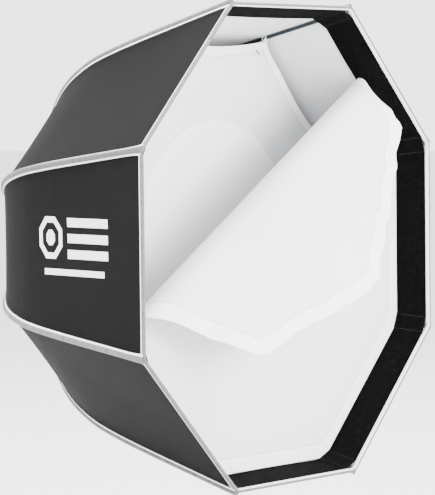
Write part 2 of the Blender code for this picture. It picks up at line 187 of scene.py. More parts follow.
class Shader:
    """A Principled material with a few short-hands for building its node tree."""

    def __init__(self, name, colour, roughness, metallic=0.0, sheen=0.0, specular=0.5):
        self.material = bpy.data.materials.new(name)
        self.material.use_nodes = True
        self.tree = self.material.node_tree
        self.bsdf = self.tree.nodes["Principled BSDF"]
        self.set("Base Color", (*colour, 1.0))
        self.set("Roughness", roughness)
        self.set("Metallic", metallic)
        self.set("Sheen Weight", sheen)
        self.set("Sheen Roughness", 0.45)
        self.set("Specular IOR Level", specular)
        self.material.diffuse_color = (*colour, 1.0)

    def set(self, socket, value):
        self.feed(self.bsdf.inputs[socket], value)

    def feed(self, socket, value):
        """Gives a socket a fixed value, or the output of another node."""
        if isinstance(value, bpy.types.NodeSocket):
            self.tree.links.new(value, socket)
        else:
            socket.default_value = value

    def node(self, kind, inputs=None, **settings):
        node = self.tree.nodes.new(kind)
        for key, value in settings.items():
            setattr(node, key, value)
        for key, value in (inputs or {}).items():
            self.feed(node.inputs[key], value)
        return node

    def attribute(self, name):
        return self.node("ShaderNodeAttribute", attribute_name=name).outputs["Vector"]

    def split(self, vector):
        return self.node("ShaderNodeSeparateXYZ", {0: vector}).outputs

    def math(self, operation, *values):
        return self.node("ShaderNodeMath", dict(enumerate(values)), operation=operation).outputs[0]

    def scaled(self, vector, scale):
        return self.node("ShaderNodeVectorMath", {0: vector, 1: scale}, operation="MULTIPLY").outputs[0]

    def noise(self, vector, scale, detail=3.0, roughness=0.55):
        inputs = {"Vector": vector, "Scale": scale, "Detail": detail, "Roughness": roughness}
        return self.node("ShaderNodeTexNoise", inputs).outputs["Fac"]

    def ramp(self, value, low, high, start, end):
        """Colours from low to high while value goes from start to end."""
        node = self.node("ShaderNodeValToRGB", {0: value})
        first, last = node.color_ramp.elements
        first.position, last.position = start, end
        first.color, last.color = (*low, 1.0), (*high, 1.0)
        return node.outputs["Color"]

    def mix(self, share, first, second):
        """Colours first and second, mixed by a share from 0 to 1."""
        node = self.node("ShaderNodeMix", {"Factor": share}, data_type="RGBA")
        for socket, value in ((6, first), (7, second)):
            self.feed(node.inputs[socket], (*value, 1.0) if isinstance(value, tuple) else value)
        return node.outputs[2]

    def bump(self, height, distance, strength):
        inputs = {"Height": height, "Distance": distance, "Strength": strength}
        self.set("Normal", self.node("ShaderNodeBump", inputs).outputs[0])

    def stripe(self, value, centre, half_width):
        """1 within half_width of centre, 0 elsewhere."""
        away = self.math("ABSOLUTE", self.math("SUBTRACT", value, centre))
        return self.math("LESS_THAN", away, half_width)

    def wave(self, value, length):
        return self.math("SINE", self.math("MULTIPLY", value, 2 * pi / length))

    def dashes(self, run, length, level):
        """1 on each stitch of a line along run, 0 between stitches."""
        return self.math("GREATER_THAN", self.wave(run, length), level)

    def weave(self, cloth, thread, height):
        """Height of a plain weave whose threads are thread apart, from cloth coordinates in metres."""
        x, y, _ = self.split(cloth)
        crossing = self.math("MULTIPLY", self.wave(x, thread), self.wave(y, thread))
        return self.math("MULTIPLY", crossing, height)


def grey(value, tint=(1.0, 1.0, 1.0)):
    return tuple(value * part for part in tint)


def shell_material(name, printed=False):
    """Black coated polyester, woven, with soft creases; one panel carries a plain printed mark."""
    shader = Shader(name, grey(0.004), 0.62, sheen=0.004, specular=0.03)
    cloth = shader.attribute("cloth")
    broad = shader.noise(cloth, scale=9.0, detail=4.0)
    fine = shader.noise(cloth, scale=260.0, detail=2.0)
    tone = shader.math("ADD", shader.math("MULTIPLY", broad, 0.7), shader.math("MULTIPLY", fine, 0.3))
    colour = shader.ramp(tone, grey(0.0030, (1.0, 0.97, 0.98)), grey(0.0056, (1.0, 1.0, 1.02)), 0.3, 0.7)
    if printed:
        share = printed_mark(shader, cloth)
        colour = shader.mix(share, colour, (0.80, 0.80, 0.81))
    shader.set("Base Color", colour)
    rough = shader.math("MULTIPLY_ADD", broad, 0.16, 0.54)
    shader.set("Roughness", rough)
    creases = shader.noise(shader.scaled(cloth, (1.0, 0.35, 1.0)), scale=22.0, detail=2.0)
    pressed = shader.noise(shader.scaled(cloth, (0.12, 1.0, 1.0)), scale=48.0, detail=2.0)
    relief = shader.math("MULTIPLY_ADD", pressed, 0.5, creases)
    weave = shader.weave(cloth, SHELL_THREAD, 0.05)
    shader.bump(shader.math("ADD", relief, weave), distance=0.0024, strength=0.7)
    return shader.material


def printed_mark(shader, cloth):
    """A plain white mark, without lettering: an octagon outline, a stack of bars and a line under them."""
    across, along, _ = shader.split(cloth)
    up = shader.math("MULTIPLY_ADD", across, -1.0, MARK_UP)
    back = shader.math("SUBTRACT", along, MARK_BACK)

    def bar(low, high, height, half):
        middle, span = (low + high) / 2, (high - low) / 2
        return shader.math("MULTIPLY", shader.stripe(back, middle, span), shader.stripe(up, height, half))

    x = shader.math("ABSOLUTE", shader.math("SUBTRACT", back, MARK_OCTAGON[0]))
    y = shader.math("ABSOLUTE", shader.math("SUBTRACT", up, MARK_OCTAGON[1]))
    diagonal = shader.math("MULTIPLY", shader.math("ADD", x, y), sqrt(0.5))
    size = shader.math("MAXIMUM", shader.math("MAXIMUM", x, y), diagonal)
    inside = shader.math("LESS_THAN", size, MARK_RING[1])
    ring = shader.math("MULTIPLY", inside, shader.math("GREATER_THAN", size, MARK_RING[0]))
    share = shader.math("MAXIMUM", ring, shader.math("LESS_THAN", size, MARK_CORE))
    for height in MARK_BAR_HEIGHTS:
        share = shader.math("MAXIMUM", share, bar(*MARK_BARS[:2], height, MARK_BARS[2]))
    return shader.math("MAXIMUM", share, bar(*MARK_LINE))


def liner_material():
    """White coated inside of the shell."""
    shader = Shader("liner", grey(0.72), 0.42, sheen=0.1, specular=0.5)
    cloth = shader.attribute("cloth")
    broad = shader.noise(cloth, scale=7.0, detail=3.0)
    colour = shader.ramp(broad, grey(0.70, (0.98, 1.0, 1.015)), grey(0.80, (1.0, 1.0, 1.01)), 0.3, 0.7)
    shader.set("Base Color", colour)
    creases = shader.noise(cloth, scale=30.0, detail=3.0)
    relief = shader.math("ADD", creases, shader.weave(cloth, SHELL_THREAD, 0.04))
    shader.bump(relief, distance=0.0014, strength=0.5)
    return shader.material


def loop_material():
    """Black brushed loop tape, with a line of slightly paler stitches on both sides of each rib."""
    shader = Shader("loop_tape", grey(0.004), 0.95, specular=0.04)
    cloth = shader.attribute("cloth")
    fuzz = shader.noise(cloth, scale=900.0, detail=3.0, roughness=0.7)
    clumps = shader.noise(cloth, scale=160.0, detail=3.0, roughness=0.6)
    tone = shader.math("MULTIPLY", fuzz, clumps)
    colour = shader.ramp(tone, grey(0.0006), grey(0.0040), 0.12, 0.46)
    across, along, _ = shader.split(cloth)
    reach = shader.math("ABSOLUTE", across)
    lines = shader.stripe(reach, 0.0100, 0.00045)
    dashes = shader.dashes(along, LOOP_STITCH, -0.4)
    colour = shader.mix(shader.math("MULTIPLY", lines, dashes), colour, grey(0.02))
    shader.set("Base Color", colour)
    shader.bump(shader.math("ADD", fuzz, clumps), distance=0.0012, strength=0.8)
    return shader.material


def tape_material(name, middle, edge, inner=0.0029, outer=0.0054):
    """Woven binding tape, one tone in its middle and one along its edges, with two rows of stitches.

    The edges start at inner from the middle line, and beyond outer the tape is dark.
    """
    shader = Shader(name, grey(middle), 0.62, sheen=0.15)
    cloth = shader.attribute("cloth")
    across, along, _ = shader.split(cloth)
    reach = shader.math("ABSOLUTE", across)
    rib = shader.wave(along, TAPE_THREAD)
    tone = shader.math("MULTIPLY_ADD", shader.noise(cloth, scale=120.0, detail=3.0), 0.16, -0.08)
    span = {"Value": reach, "From Min": inner, "From Max": inner + 0.0008}
    share = shader.node("ShaderNodeMapRange", span)
    colour = shader.mix(share.outputs[0], grey(middle, (1.0, 1.0, 1.01)), grey(edge))
    rows = shader.stripe(reach, inner - 0.0006, 0.00028)
    stitches = shader.math("MULTIPLY", rows, shader.dashes(along, TAPE_STITCH, -0.5))
    colour = shader.mix(stitches, colour, grey(middle * 0.45))
    hem = shader.math("GREATER_THAN", reach, outer)
    colour = shader.mix(hem, colour, grey(0.01))
    bright = shader.node("ShaderNodeBrightContrast", {"Color": colour, "Bright": tone})
    shader.set("Base Color", bright.outputs[0])
    relief = shader.math("SUBTRACT", shader.math("MULTIPLY", rib, 0.3), stitches)
    shader.bump(relief, distance=0.0003, strength=0.6)
    return shader.material


def white_cloth(name, low, high, tint, hem_tone, stitch_at, patch=0.0):
    """White diffusion cloth; its hem attribute holds the distances from the cut edge and from the axis."""
    shader = Shader(name, grey(high), 0.72, sheen=0.12, specular=0.3)
    shader.set("Subsurface Weight", 0.25)
    shader.set("Subsurface Radius", (0.02, 0.02, 0.02))
    shader.set("Subsurface Scale", 0.3)
    cloth = shader.attribute("cloth")
    hem, radius, _ = shader.split(shader.attribute("hem"))
    broad = shader.noise(cloth, scale=6.0, detail=3.0)
    colour = shader.ramp(broad, grey(low, tint), grey(high, tint), 0.3, 0.7)
    if patch:
        on_patch = shader.math("LESS_THAN", radius, patch)
        colour = shader.mix(on_patch, colour, grey(hem_tone, (1.0, 0.995, 1.02)))
        # The thin darker ring at the patch's edge is a painted shadow of the patch's raised step.
        colour = shader.mix(shader.stripe(radius, patch, 0.0006), colour, grey(low * 0.88))
    folded = shader.math("LESS_THAN", hem, stitch_at)
    colour = shader.mix(folded, colour, grey(hem_tone))
    across, along, _ = shader.split(cloth)
    dashes = shader.dashes(shader.math("ADD", across, along), WHITE_STITCH, -0.3)
    # Dashed stitches along the hem, in dark grey: partly the thread, partly painted shade along the hem's
    # inner edge.
    stitches = shader.math("MULTIPLY", shader.stripe(hem, stitch_at, 0.0006), dashes)
    colour = shader.mix(stitches, colour, grey(low * 0.55))
    shader.set("Base Color", colour)
    crumple = shader.noise(cloth, scale=26.0, detail=4.0, roughness=0.6)
    relief = shader.math("ADD", crumple, shader.weave(cloth, WHITE_THREAD, 0.06))
    relief = shader.math("ADD", relief, shader.math("MULTIPLY", stitches, -0.4))
    shader.bump(relief, distance=0.0016, strength=0.5)
    return shader.material


def hard_material(name, colour, roughness, metallic, depth, grain=EVEN_GRAIN, specular=0.5):
    """Metal or moulded plastic with a fine grain that is depth deep, and an uneven gloss."""
    shader = Shader(name, colour, roughness, metallic, specular=specular)
    place = shader.node("ShaderNodeTexCoord").outputs["Object"]
    broad = shader.noise(place, scale=22.0, detail=4.0)
    fine = shader.noise(shader.scaled(place, grain), scale=900.0, detail=3.0, roughness=0.7)
    low = tuple(part * 0.75 for part in colour)
    high = tuple(min(1.0, part * 1.2) for part in colour)
    shader.set("Base Color", shader.ramp(broad, low, high, 0.3, 0.7))
    rough = shader.math("MULTIPLY_ADD", fine, 0.22, max(roughness - 0.11, 0.02))
    shader.set("Roughness", rough)
    shader.bump(fine, depth, strength=0.4)
    return shader.material


# ---- mesh helpers

def make_piece(name, points, faces, materials, face_materials=None, normals=None, vectors=None):
    """A mesh object from arrays; vectors are named point attributes that the materials read."""
    mesh = bpy.data.meshes.new(name)
    mesh.from_pydata([tuple(p) for p in points], [], faces)
    for material in materials:
        mesh.materials.append(material)
    if face_materials is not None:
        mesh.polygons.foreach_set("material_index", face_materials)
    for key, values in (vectors or {}).items():
        attribute = mesh.attributes.new(key, "FLOAT_VECTOR", "POINT")
        attribute.data.foreach_set("vector", np.asarray(values, np.float32).ravel())
    mesh.shade_smooth()
    if normals is not None:
        mesh.normals_split_custom_set_from_vertices([tuple(n) for n in normals])
    return put_in_scene(name, mesh)


def put_in_scene(name, data):
    item = bpy.data.objects.new(name, data)
    bpy.context.scene.collection.objects.link(item)
    return item


def tidy_normals(piece, sharp_angle):
    """Faces turned outwards and shaded smooth, except across edges sharper than an angle in degrees."""
    bm = bmesh.new()
    bm.from_mesh(piece.data)
    bmesh.ops.recalc_face_normals(bm, faces=bm.faces[:])
    bm.to_mesh(piece.data)
    bm.free()
    piece.data.shade_smooth()
    piece.data.set_sharp_from_angle(angle=radians(sharp_angle))


def twice(values):
    """The same values for a sheet's two sides."""
    return np.concatenate([values, values])


def unit(vectors):
    return vectors / np.linalg.norm(vectors, axis=-1, keepdims=True)


def arc_lengths(points):
    """Distance run along a line of points, at each of them."""
    steps = np.linalg.norm(np.diff(points, axis=0), axis=1)
    return np.concatenate([[0.0], np.cumsum(steps)])


def grid_faces(rows, columns, offset=0, flip=False, closed=False):
    """Quads of a grid of points stored row by row; closed joins its last column to its first."""
    faces = []
    for row in range(rows - 1):
        for column in range(columns if closed else columns - 1):
            after = (column + 1) % columns
            low, high = offset + row * columns, offset + (row + 1) * columns
            quad = (low + column, low + after, high + after, high + column)
            faces.append(quad[::-1] if flip else quad)
    return faces


def swept(name, sections, material, cloth):
    """A closed tube from sections of equal length: sections[row][column] is a point."""
    sections = np.asarray(sections)
    rows, columns, _ = sections.shape
    faces = grid_faces(rows, columns, closed=True)
    faces.append(tuple(range(columns))[::-1])
    faces.append(tuple((rows - 1) * columns + i for i in range(columns)))
    vectors = {"cloth": np.asarray(cloth).reshape(-1, 3)}
    piece = make_piece(name, sections.reshape(-1, 3), faces, [material], vectors=vectors)
    tidy_normals(piece, 50)
    return piece


# ---- the shell's geometry

def smooth_profile():
    """Points (radius, y) of the rib seam on a Catmull-Rom curve, their outward normals and arc lengths."""
    knots = [np.array((radius, RIM_Y + depth)) for radius, depth in RIB_PROFILE]
    ends = [2 * knots[0] - knots[1], *knots, 2 * knots[-1] - knots[-2]]
    points = []
    for i in range(len(knots) - 1):
        a, b, c, d = ends[i:i + 4]
        for step in range(PROFILE_STEPS):
            t = step / PROFILE_STEPS
            points.append(0.5 * (2 * b + (c - a) * t + (2 * a - 5 * b + 4 * c - d) * t**2
                                 + (3 * b - a - 3 * c + d) * t**3))
    points.append(knots[-1])
    points = np.array(points)
    along = unit(np.gradient(points, axis=0))
    return points, np.stack([along[:, 1], -along[:, 0]], axis=1), arc_lengths(points)


PROFILE, PROFILE_NORMALS, PROFILE_ARC = smooth_profile()
DEPTHS = PROFILE[:, 1] - RIM_Y


def seam_radius(depth):
    """Distance of the rib seam from the axis at a depth behind the rim."""
    return float(np.interp(depth, DEPTHS, PROFILE[:, 0]))


def rib_angle(number):
    return HALF + (number - 1) * STEP


def to_world(angle, local):
    """Points (away from the axis, y, along the tangent) of a rib's frame, in the row frame."""
    local = np.asarray(local, float)
    radial, y, side = local[..., 0], local[..., 1], local[..., 2]
    x = radial * cos(angle) - side * sin(angle)
    z = radial * sin(angle) + side * cos(angle)
    return np.stack([x, y, z], axis=-1)


def gore_side(radius, y, normal, t, side, lift=0.0):
    """Point of one rib's half gore: t is 0 on the rib and 1 on the gore's middle line."""
    apothem = radius * cos(HALF)
    middle = np.array((apothem * cos(HALF), apothem * sin(HALF)))
    flat = np.array((radius, 0.0)) * (1 - t) + middle * t
    outward = np.array((cos(HALF), sin(HALF)))
    bow = GORE_BOW * sin(pi * min((y - RIM_Y) / BOW_DEPTH, 1.0)) * sin(pi * t / 2)
    push = lift - bow
    flat = flat + outward * push * normal[0]
    return np.array((flat[0], y + push * normal[1], side * flat[1]))


def shell_surface(row, t):
    """Point in the rib's frame and cloth coordinates; t runs from -1 to 1 across its two half gores."""
    radius, y = PROFILE[row]
    side = 1.0 if t >= 0 else -1.0
    point = gore_side(radius, y, PROFILE_NORMALS[row], abs(t), side)
    half_width = radius * sin(HALF)
    return point, (-side * (1 - abs(t)) * half_width, PROFILE_ARC[row], 0.0)


def shell_grid():
    """Points, normals and cloth coordinates of one rib's share of the shell, in the rib's frame."""
    share = np.linspace(-1, 1, 2 * GORE_COLUMNS + 1)
    places = [[shell_surface(row, t) for t in share] for row in range(len(PROFILE))]
    points = np.array([[point for point, _ in line] for line in places])
    cloth = np.array([[flat for _, flat in line] for line in places])
    along = np.gradient(points, axis=0)
    across = np.gradient(points, axis=1)
    half = GORE_COLUMNS
    across[:, 0] = points[:, 1] - points[:, 0]
    across[:, -1] = points[:, -1] - points[:, -2]
    left, right = points[:, half] - points[:, half - 1], points[:, half + 1] - points[:, half]
    across[:, half] = unit(left) + unit(right)
    normals = unit(np.cross(along, across))
    outward = normals[len(PROFILE) // 4, half, 0]
    return points, normals * np.sign(outward), cloth


def gathered(depth):
    """Share of a gore's width that is left at a depth when the ribs are folded, with a little to spare."""
    middle = seam_radius(depth) * cos(HALF)**2
    out, forward = middle - PIVOT_RADIUS, RIM_Y + depth - PIVOT_Y
    folded = PIVOT_RADIUS + out * cos(FOLD_ANGLE) + forward * sin(FOLD_ANGLE)
    return min(folded / middle + GATHER_SPARE, GATHER_MOST)


def shell_rows():
    """(first row, last row, keep) of each length of the shell."""
    lengths = []
    first = 0
    for limit in (*SHELL_CUTS, DEPTHS[-1]):
        last = int(np.searchsorted(DEPTHS, limit - 1e-9))
        lengths.append((first, last, gathered(DEPTHS[last])))
        first = last
    return lengths


def squash_to_rib(piece, number):
    """The piece goes with its rib, on a mesh of its own."""
    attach(piece, f"rib_{number}")
    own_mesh(piece)


def build_shell(outside, printed, liner):
    """The sewn shell: for each rib, a run of lengths that go with that rib."""
    points, normals, cloth = shell_grid()
    for number in range(1, RIB_COUNT + 1):
        world = to_world(rib_angle(number), points)
        facing = to_world(rib_angle(number), normals)
        for length, (first, last, keep) in enumerate(shell_rows(), start=1):
            rows, black, white = tucked_rows(first, last)
            piece = shell_length(f"shell_{number}_{length}", number, (world[rows], facing[rows], cloth[rows]),
                                 (black, white), [outside, liner, printed])
            squash_to_rib(piece, number)
            if length == 1:
                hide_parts(f"shell_gore_{number}")


def shell_length(name, number, grids, depths, materials):
    """One length of a rib's share: an outer and an inner face, each as deep in each row as depths says."""
    world, facing, cloth = (grid.reshape(-1, 3) for grid in grids)
    rows, columns, _ = grids[0].shape
    outer, inner = (world - facing * np.repeat(depth, columns)[:, None] for depth in depths)
    faces = grid_faces(rows, columns, flip=True) + grid_faces(rows, columns, len(outer))
    count = (rows - 1) * (columns - 1)
    kinds = [0] * count + [1] * count
    for i in range(count):
        on_far_side = i % (columns - 1) >= columns // 2
        if (number, on_far_side) in PRINTED_HALVES:
            kinds[i] = 2
    return make_piece(name, np.concatenate([outer, inner]), faces, materials, kinds,
                      np.concatenate([facing, -facing]), {"cloth": twice(cloth)})


def tucked_rows(first, last):
    """Profile rows of one length, and how deep its black and white faces lie there.

    The black face turns over the front edge, and both faces tuck in under the next length at the back.
    """
    whole = last + 1 - first
    rows = [first, *range(first, last + 1)]
    black = [SHELL_THICKNESS + TURN_OVER] + [0.0] * whole
    white = [SHELL_THICKNESS - TURN_OVER] + [SHELL_THICKNESS] * whole
    if last < len(PROFILE) - 1:
        rows += [last, last + 1]
        black += [TUCK, TUCK * 1.2]
        white += [SHELL_THICKNESS - TUCK, SHELL_THICKNESS - TUCK * 1.2]
    return np.array(rows), np.array(black), np.array(white)


# ---- bindings

# Half section of the seam tape: (distance from the seam, height above the shell)
SEAM_TAPE = ((0.0, 0.0046), (0.0013, 0.0042), (0.0023, 0.0030), (0.0031, 0.0018), (0.0044, 0.0019),
             (0.0053, 0.0015), (0.0058, 0.0005), (0.0059, -0.0004))
TAPE_FLARE = 0.35
FLARE_DEPTH = 0.02


def build_seam_tape(number, material):
    """Binding tape folded over one rib seam, on the outside of the shell, a little wider at the rim."""
    sections, cloth = [], []
    for (radius, y), normal, arc, depth in zip(PROFILE, PROFILE_NORMALS, PROFILE_ARC, DEPTHS):
        flare = 1.0 + TAPE_FLARE * max(0.0, 1.0 - depth / FLARE_DEPTH)
        section, flat = [], []
        for side, half in ((-1, SEAM_TAPE[::-1]), (1, SEAM_TAPE[1:])):
            for distance, height in half:
                t = distance * flare / (radius * sin(HALF))
                point = gore_side(radius, y, normal, t, side, height)
                if distance == 0.0:
                    point[2] = 0.0
                    point[0] += height * normal[0] * (1 / cos(HALF) - cos(HALF))
                section.append(point)
                flat.append((side * distance, arc, 0.0))
        sections.append(section)
        cloth.append(flat)
    piece = swept(f"seam_tape_{number}", to_world(rib_angle(number), sections), material, cloth)
    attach(piece, f"rib_{number}")


# Sections of the rim and hub bindings: (distance outwards, distance behind the edge), round that edge
RIM_BINDING = ((0.0004, 0.0044), (0.0013, 0.0041), (0.0016, 0.0028), (0.0016, 0.0012), (0.0012, -0.0004),
               (0.0004, -0.0014), (-0.0008, -0.0018), (-0.0020, -0.0015), (-0.0028, -0.0006),
               (-0.0032, 0.0008), (-0.0033, 0.0024), (-0.0030, 0.0040), (-0.0024, 0.0040), (-0.0022, 0.0010))
HUB_BINDING = ((0.0006, -0.0080), (0.0014, -0.0074), (0.0016, -0.0040), (0.0014, -0.0004), (0.0004, 0.0008),
               (-0.0010, 0.0008), (-0.0018, -0.0004), (-0.0020, -0.0070), (-0.0012, -0.0076))
# Distance round either section to the tape's middle line
TAPE_MIDDLE = 0.0068


def build_edge_binding(name, number, row, section_shape, material):
    """Tape folded over the shell's edge at one profile row, along one rib's share of the edge."""
    radius, y = PROFILE[row]
    normal = PROFILE_NORMALS[row]
    share = np.concatenate([np.linspace(-1, -0.06, 9), [-0.02, 0.02], np.linspace(0.06, 1, 9)])
    rounds = arc_lengths(np.array(section_shape)) - TAPE_MIDDLE
    sections, cloth = [], []
    for t in share:
        side = 1.0 if t >= 0 else -1.0
        run = -side * (1 - abs(t)) * radius * sin(HALF)
        section = []
        for outwards, behind in section_shape:
            along = np.array((-normal[1], normal[0])) * behind
            reach = radius + along[0] / cos(HALF)
            section.append(gore_side(reach, y + along[1], normal, abs(t), side, outwards))
        sections.append(section)
        cloth.append([(distance, run, 0.0) for distance in rounds])
    piece = swept(f"{name}_{number}", to_world(rib_angle(number), sections), material, cloth)
    squash_to_rib(piece, number)


# ---- lip band

def band_section(radius, y, normal, lift):
    """Points across one rib's share of the lip band; it cuts the corner in front of the rod's tip."""
    turn = BAND_CORNER / (radius * sin(HALF))
    left = [gore_side(radius, y, normal, t, -1, -lift) for t in np.linspace(1, turn, 9)]
    right = [gore_side(radius, y, normal, t, 1, -lift) for t in np.linspace(turn, 1, 9)]
    start, end = left[-1], right[0]
    control = (start + end) / 2 + np.array((BAND_BOW, 0.0, 0.0))
    arc = []
    for s in np.linspace(0, 1, 9)[1:-1]:
        arc.append((1 - s)**2 * start + 2 * s * (1 - s) * control + s**2 * end)
    return np.array(left + arc + right)


def build_lip_band(number, material):
    """Brushed loop tape inside the lip."""
    layers, cloth = [], []
    for depth in np.linspace(BAND_START, BAND_END, 5):
        place = (seam_radius(depth), RIM_Y + depth, PROFILE_NORMALS[0])
        outer = band_section(*place, BAND_LIFT)
        inner = band_section(*place, BAND_LIFT + BAND_THICKNESS)
        run = arc_lengths(inner)
        run -= run[len(run) // 2]
        wave = BAND_WAVE * np.sin(run * 90 + number) * (depth / BAND_END)
        inner[:, 1] += wave
        outer[:, 1] += wave
        layers.append(np.concatenate([inner, outer[::-1]]))
        flat = np.stack([run, np.full(len(run), depth), np.zeros(len(run))], axis=1)
        cloth.append(np.concatenate([flat, flat[::-1]]))
    angle = rib_angle(number)
    piece = swept(f"lip_band_cloth_{number}", to_world(angle, np.array(layers)), material, np.array(cloth))
    squash_to_rib(piece, number)
    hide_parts(f"lip_band_{number}")


# ---- cloth panels across the box

def cloth_waves(points, seed, wavelengths, amplitude):
    """A smooth random height over flat points, from a few plane waves."""
    chooser = np.random.default_rng(seed)
    height = np.zeros(len(points))
    for wavelength in wavelengths:
        for _ in range(3):
            heading = chooser.uniform(0, 2 * pi)
            phase = chooser.uniform(0, 2 * pi)
            run = points[:, 0] * cos(heading) + points[:, 1] * sin(heading)
            height += np.sin(2 * pi * run / wavelength + phase) * wavelength
    return amplitude * height / (3 * sum(wavelengths))


def baffle_edge(angle):
    """Radius of the baffle's scalloped edge at an angle."""
    middle = round(angle / STEP) * STEP
    away = tan(angle - middle) / tan(HALF)
    straight = BAFFLE_RADIUS * cos(HALF) / cos(angle - middle)
    return straight - BAFFLE_SCALLOP * (1 - away**2)


def baffle_point(angle, radius):
    """Point of the baffle: slack in the middle of each edge, drawn tight towards each corner."""
    edge = baffle_edge(angle)
    x, z = radius * cos(angle), radius * sin(angle)
    share = radius / edge
    corner = abs(angle / STEP - round(angle / STEP)) * 2
    tension = 0.0016 * share**3 * sin(9 * angle * 4) * corner**2
    slack = 0.0040 * share**2 * (1 - corner) * sin(3 * angle)
    waves = cloth_waves(np.array([[x, z]]), 5, (0.11, 0.19), 0.0014)[0]
    step = PATCH_STEP / (1 + np.exp(np.clip((radius - PATCH_RADIUS) / 0.0008, -50, 50)))
    return np.array((x, BAFFLE_Y + tension + slack + waves - step, z))


def baffle_rings():
    """Shares of the edge radius for the baffle's rings, closer together at the patch's edge and the hem."""
    return np.unique(np.concatenate([
        np.linspace(0.0, 0.54, 13), np.linspace(0.54, 0.66, 31), np.linspace(0.66, 0.93, 12),
        np.linspace(0.93, 1.0, 10)]))


def baffle_normal(angle, radius):
    """The baffle's normal towards the front, from points a little way off."""
    nudge = 0.0015
    outwards = baffle_point(angle, radius + nudge) - baffle_point(angle, max(radius - nudge, 0.0))
    turn = nudge / max(radius, 0.02)
    around = baffle_point(angle + turn, radius) - baffle_point(angle - turn, radius)
    normal = np.cross(outwards, around)
    size = np.linalg.norm(normal)
    normal = normal / size if size > 1e-12 and radius > 0.01 else np.array((0.0, -1.0, 0.0))
    return normal * (-1.0 if normal[1] > 0 else 1.0)


def draw_in(piece):
    """The piece goes with the speed ring, on a mesh of its own."""
    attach(piece, "speed_ring")
    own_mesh(piece)


def build_baffle(material):
    """The inner baffle in narrow wedges, each of which goes with the speed ring."""
    rings = baffle_rings()
    spread = 2 * pi / BAFFLE_WEDGES
    for wedge in range(BAFFLE_WEDGES):
        low = wedge * spread
        points, normals, hem = [], [], []
        for share in rings:
            for angle in np.linspace(low, low + spread, BAFFLE_COLUMNS):
                edge = baffle_edge(angle)
                radius = share * edge
                thick = HEM_THICKNESS if edge - radius < BAFFLE_HEM else 0.0
                points.append(baffle_point(angle, radius) - np.array((0.0, thick, 0.0)))
                normals.append(baffle_normal(angle, radius))
                hem.append((edge - radius, radius, 0.0))
        points, normals = np.array(points), np.array(normals)
        back = points + np.array((0.0, CLOTH, 0.0))
        front_faces = grid_faces(len(rings), BAFFLE_COLUMNS)
        faces = front_faces + grid_faces(len(rings), BAFFLE_COLUMNS, len(points), flip=True)
        cloth = np.stack([points[:, 0], points[:, 2], np.zeros(len(points))], axis=1)
        piece = make_piece(f"baffle_{wedge + 1}", np.concatenate([points, back]), faces, [material],
                           vectors={"cloth": twice(cloth), "hem": twice(hem)})
        if piece.data.polygons[len(front_faces) // 2].normal.y > 0:
            piece.data.flip_normals()
        both = np.concatenate([normals, -normals])
        piece.data.normals_split_custom_set_from_vertices([tuple(n) for n in both])
        draw_in(piece)
        if wedge == 0:
            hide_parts("inner_baffle", "baffle_patch")


def loop_path():
    """(radius, y) along the elastic loop, from the baffle's corner round the rod and back."""
    start = BAFFLE_RADIUS - 0.016
    rod = seam_radius(BAFFLE_Y - RIM_Y) - 0.0054
    path = []
    for turn in np.linspace(radians(150), radians(-150), 15):
        path.append((rod + LOOP_RADIUS * cos(turn), BAFFLE_Y + LOOP_RADIUS * sin(turn)))
    return [(start, BAFFLE_Y + 0.0012), *path, (start, BAFFLE_Y - 0.0012)]


def build_baffle_loop(number, material, thread):
    """Elastic loop from a baffle corner round the rod, and the bar tack that holds it."""
    angle = rib_angle(number)
    path = loop_path()
    wide, thick = LOOP_HALF_WIDTH, LOOP_HALF_THICKNESS
    sections, cloth = [], []
    for i, (radius, y) in enumerate(path):
        along = unit(np.subtract(path[min(i + 1, len(path) - 1)], path[max(i - 1, 0)]))
        out = np.array((along[1], -along[0])) * thick
        section = []
        for side, sign in ((-wide, 1), (wide, 1), (wide, -1), (-wide, -1)):
            section.append((radius + sign * out[0], y + sign * out[1], side))
        sections.append(section)
        cloth.append([(point[2], i * 0.002, 0.0) for point in section])
    loop = swept(f"baffle_loop_{number}", to_world(angle, sections), material, cloth)
    ridge = []
    for side in np.linspace(-TACK_HALF_LENGTH, TACK_HALF_LENGTH, 7):
        radius = BAFFLE_RADIUS - 0.020 + 0.35 * side
        ridge.append([(radius + 0.0007 * cos(a), BAFFLE_Y - 0.0030 - 0.0006 * sin(a), side + TACK_ASIDE)
                      for a in np.linspace(0, 2 * pi, 7)[:-1]])
    flat = [[(0.0, i * 0.0015, 0.0)] * 6 for i in range(7)]
    tack = swept(f"baffle_tack_{number}", to_world(angle, ridge), thread, flat)
    for piece in (loop, tack):
        draw_in(piece)


# ---- front diffuser

UPWARD = np.array((-sin(FOLD_SLOPE), cos(FOLD_SLOPE)))
ALONG = np.array((cos(FOLD_SLOPE), sin(FOLD_SLOPE)))


def upright(run, across):
    """World x and z of points given along the fold and across it."""
    return run * ALONG[0] + across * UPWARD[0], run * ALONG[1] + across * UPWARD[1]


def octagon_reach(x, z):
    """Distance of flat points in from the diffuser's straight edges and trimmed corners."""
    reach = np.full(np.shape(x), np.inf)
    for i in range(RIB_COUNT):
        edge, corner = i * STEP, i * STEP + HALF
        reach = np.minimum(reach, DIFFUSER_APOTHEM - (x * cos(edge) + z * sin(edge)))
        reach = np.minimum(reach, DIFFUSER_CORNER - (x * cos(corner) + z * sin(corner)))
    return reach


def cut_lines(direction, low, high, spacing):
    """Lines to slice along, square to a direction: (direction, distance)."""
    places = np.linspace(low, high, int(ceil((high - low) / spacing)) + 1)[1:-1]
    return [(Vector((*direction, 0.0)), at) for at in places]


def slice_mesh(bm, normal, at, trim=False):
    bmesh.ops.bisect_plane(bm, geom=bm.verts[:] + bm.edges[:] + bm.faces[:], dist=1e-7,
                           plane_co=normal * at, plane_no=normal, clear_outer=trim)


def flat_normal(angle):
    """Direction at an angle in the plane of the flat cut, whose first axis runs along the fold."""
    return Vector((cos(angle - FOLD_SLOPE), sin(angle - FOLD_SLOPE), 0.0))


